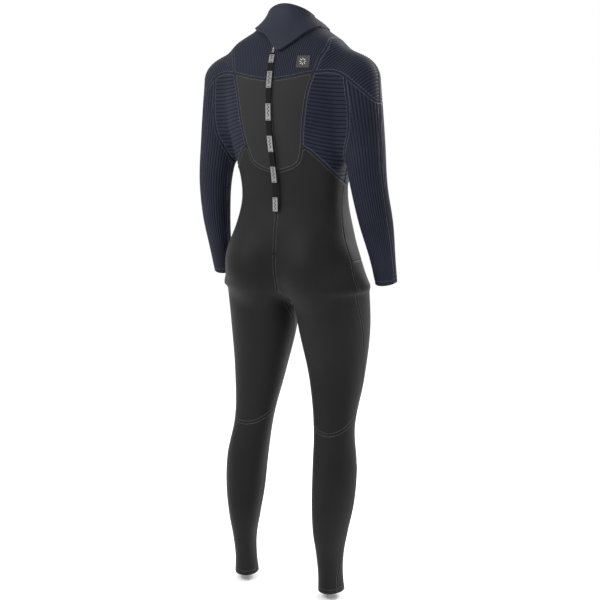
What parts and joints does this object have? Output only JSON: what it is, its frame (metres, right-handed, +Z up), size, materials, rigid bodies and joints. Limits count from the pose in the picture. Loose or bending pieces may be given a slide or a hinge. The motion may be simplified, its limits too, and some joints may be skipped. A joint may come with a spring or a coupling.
{
  "type": "full wetsuit",
  "caption": "Full-length back-zip wetsuit of sewn neoprene panels with ribbed shoulders and sleeves, a tall collar and a pull leash.",
  "frame": {"origin": "centre of the neck opening at the collar's rim, where the worn suit is held", "axes": "+Z up, front of the suit towards -Y, wearer's left towards +X"},
  "size_m": [0.5452, 0.2638, 1.5264],
  "materials": {
    "navy_rib": "ribbed nylon jersey over foam, matt",
    "navy_collar": "smooth nylon jersey, matt",
    "charcoal_jersey": "smooth charcoal jersey",
    "black_jersey": "smooth near-black stretch jersey",
    "guard_black": "smooth-skin foam",
    "zip_tape": "woven polyester tape",
    "zip_coil": "nylon coil teeth",
    "metal": "plated zinc",
    "webbing": "woven polyester webbing",
    "label": "woven label",
    "badge": "moulded patch",
    "loop": "brushed loop tape",
    "hook": "moulded hook tape"
  },
  "bodies": {
    "torso": {"belly_panel": "black_jersey", "chest_panel": "black_jersey", "collar_band": "navy_collar", "loop_patch": "loop", "zip_guard_flap": "guard_black", "shoulder_badge": "badge", "zip_bottom_stop": "metal", "zip_top_stop_left": "metal", "zip_top_stop_right": "metal", "back_panel_left": "charcoal_jersey", "back_panel_right": "charcoal_jersey", "back_yoke_left": "navy_rib", "back_yoke_right": "navy_rib", "side_back_panel_left": "navy_rib", "side_back_panel_right": "navy_rib", "side_front_panel_left": "navy_rib", "side_front_panel_right": "navy_rib", "shoulder_panel_left": "navy_rib", "shoulder_panel_right": "navy_rib", "upper_sleeve_back_left": "navy_rib", "upper_sleeve_back_right": "navy_rib", "upper_sleeve_front_left": "navy_rib", "upper_sleeve_front_right": "navy_rib", "seat_thigh_panel_left": "black_jersey", "seat_thigh_panel_right": "black_jersey", "front_thigh_panel_left": "black_jersey", "front_thigh_panel_right": "black_jersey", "zip_coil_left": "zip_coil", "zip_coil_right": "zip_coil", "zip_tape_left": "zip_tape", "zip_tape_right": "zip_tape"},
    "left_forearm": {"forearm_sleeve_back_left": "navy_rib", "forearm_sleeve_front_left": "navy_rib"},
    "left_shin": {"knee_pad_left": "black_jersey", "shin_panel_left": "black_jersey", "calf_panel_left": "black_jersey"},
    "right_forearm": {"forearm_sleeve_back_right": "navy_rib", "forearm_sleeve_front_right": "navy_rib"},
    "right_shin": {"knee_pad_right": "black_jersey", "shin_panel_right": "black_jersey", "calf_panel_right": "black_jersey"},
    "zip_slider": {"zip_slider": "metal"},
    "zip_puller": {"zip_puller": "metal"},
    "pull_leash": {"pull_leash": "webbing", "leash_label_1": "label", "leash_label_2": "label", "leash_label_3": "label", "leash_label_4": "label", "leash_label_5": "label", "leash_label_6": "label"},
    "collar_tab": {"collar_closure_tab": "navy_collar", "hook_patch": "hook"}
  },
  "joints": [
    {"name": "left_elbow", "type": "hinge", "parent": "torso", "child": "left_forearm", "pos_m": [0.223, -0.011, -0.403], "axis": [-1, 0, 0], "range_deg": [0, 110]},
    {"name": "right_elbow", "type": "hinge", "parent": "torso", "child": "right_forearm", "pos_m": [-0.223, -0.011, -0.403], "axis": [-1, 0, 0], "range_deg": [0, 110]},
    {"name": "left_knee", "type": "hinge", "parent": "torso", "child": "left_shin", "pos_m": [0.121, 0.069, -1.051], "axis": [1, 0, 0], "range_deg": [0, 110]},
    {"name": "right_knee", "type": "hinge", "parent": "torso", "child": "right_shin", "pos_m": [-0.121, 0.069, -1.051], "axis": [1, 0, 0], "range_deg": [0, 110]},
    {"name": "zip_travel", "type": "hinge", "parent": "torso", "child": "zip_slider", "pos_m": [0, -0.2605, -0.213], "axis": [-1, 0, 0], "range_deg": [0, 40]},
    {"name": "puller_turn", "type": "hinge", "parent": "zip_slider", "child": "zip_puller", "pos_m": [0, 0.1162, -0.0699], "axis": [-1, 0, 0], "range_deg": [-45, 5]},
    {"name": "leash_swing", "type": "hinge", "parent": "zip_puller", "child": "pull_leash", "pos_m": [0, 0.12, -0.079], "axis": [1, 0, 0], "range_deg": [0, 110]},
    {"name": "collar_tab_open", "type": "hinge", "parent": "torso", "child": "collar_tab", "pos_m": [-0.0953, 0.0351, -0.0092], "axis": [0.6891, -0.2402, 0.6837], "range_deg": [0, 100]}
  ],
  "couplings": [
    {"joint": "puller_turn", "follows": "zip_travel", "ratio": -1}
  ]
}
